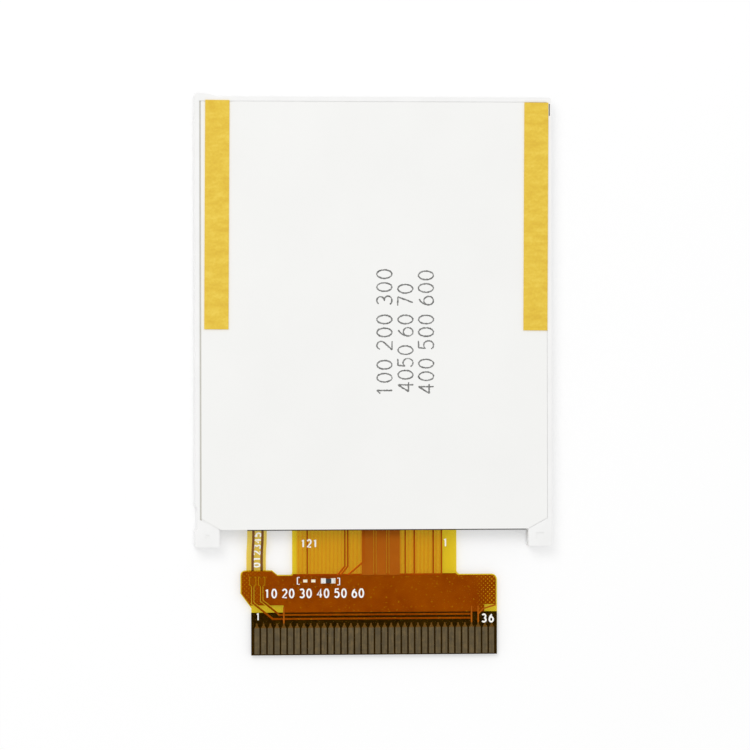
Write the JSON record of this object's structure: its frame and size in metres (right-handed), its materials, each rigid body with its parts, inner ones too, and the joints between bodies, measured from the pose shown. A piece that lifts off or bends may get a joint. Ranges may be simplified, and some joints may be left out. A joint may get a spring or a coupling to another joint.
{
  "type": "tft display module",
  "caption": "Thin flat colour display module seen from its back: white framed backlight behind a glass screen, with an amber flexible circuit that ends in a row of contact fingers.",
  "frame": {"origin": "on the screen's outer face, in the middle of the moulded frame's outline", "axes": "+X across the screen, +Y from the flexible circuit towards the screen's top edge, +Z from the screen's face to the module's back"},
  "size_m": [0.0424, 0.0663, 0.0025],
  "materials": {
    "white_moulding": "satin moulded white plastic",
    "white_sheet": "smooth white reflector film",
    "polariser_dark": "dark neutral film, smooth",
    "display_glass": "clear thin glass with cut edges",
    "cell_resin": "cured seal resin",
    "crystal_layer": "dark liquid layer",
    "chip_silicon": "ground grey silicon",
    "bond_resin": "cured conductive film",
    "clear_coating": "clear cured coating",
    "black_film": "matt black adhesive film",
    "clear_film": "clear film with a fine grain",
    "frosted_film": "frosted white film",
    "guide_acrylic": "clear moulded acrylic",
    "amber_film": "clear amber polyimide, glossy",
    "copper": "etched copper under film",
    "finger_plating": "dull plated contacts",
    "pad_plating": "gold plated pads",
    "solder": "bright solder",
    "resistor_ceramic": "black coated ceramic with tinned ends",
    "lamp_housing": "white lamp body with a pale yellow window",
    "dark_film": "dark brown stiffener film",
    "adhesive": "soft clear adhesive",
    "amber_liner": "yellow release film"
  },
  "bodies": {
    "root": {"front_polariser": "polariser_dark", "colour_filter_glass": "display_glass", "cell_seal": "cell_resin", "liquid_crystal_layer": "crystal_layer", "array_glass": "display_glass", "rear_polariser": "polariser_dark", "driver_chip": "chip_silicon", "chip_bond_film": "bond_resin", "ledge_coating": "clear_coating", "mould_frame": "white_moulding", "rim_tape": "black_film", "upper_prism_sheet": "clear_film", "lower_prism_sheet": "clear_film", "diffuser_sheet": "frosted_film", "light_guide_plate": "guide_acrylic", "back_sheet": "white_sheet", "light_strip_film": "amber_film", "light_strip_copper": "copper", "light_strip_tape": "black_film", "side_lamp_1": "lamp_housing", "side_lamp_2": "lamp_housing", "side_lamp_3": "lamp_housing", "side_lamp_4": "lamp_housing", "flex_bond_film": "bond_resin", "flex_base_film": "amber_film", "signal_copper": "copper", "ground_copper": "copper", "back_coverlay": "amber_film", "front_coverlay": "amber_film", "contact_fingers": "finger_plating", "finger_stiffener": "dark_film", "solder_pads": "pad_plating", "tail_pads": "pad_plating", "tail_solder": "solder", "chip_resistor": "resistor_ceramic", "resistor_solder": "solder", "left_adhesive": "adhesive", "left_liner": "amber_liner", "right_adhesive": "adhesive", "right_liner": "amber_liner"}
  },
  "joints": []
}
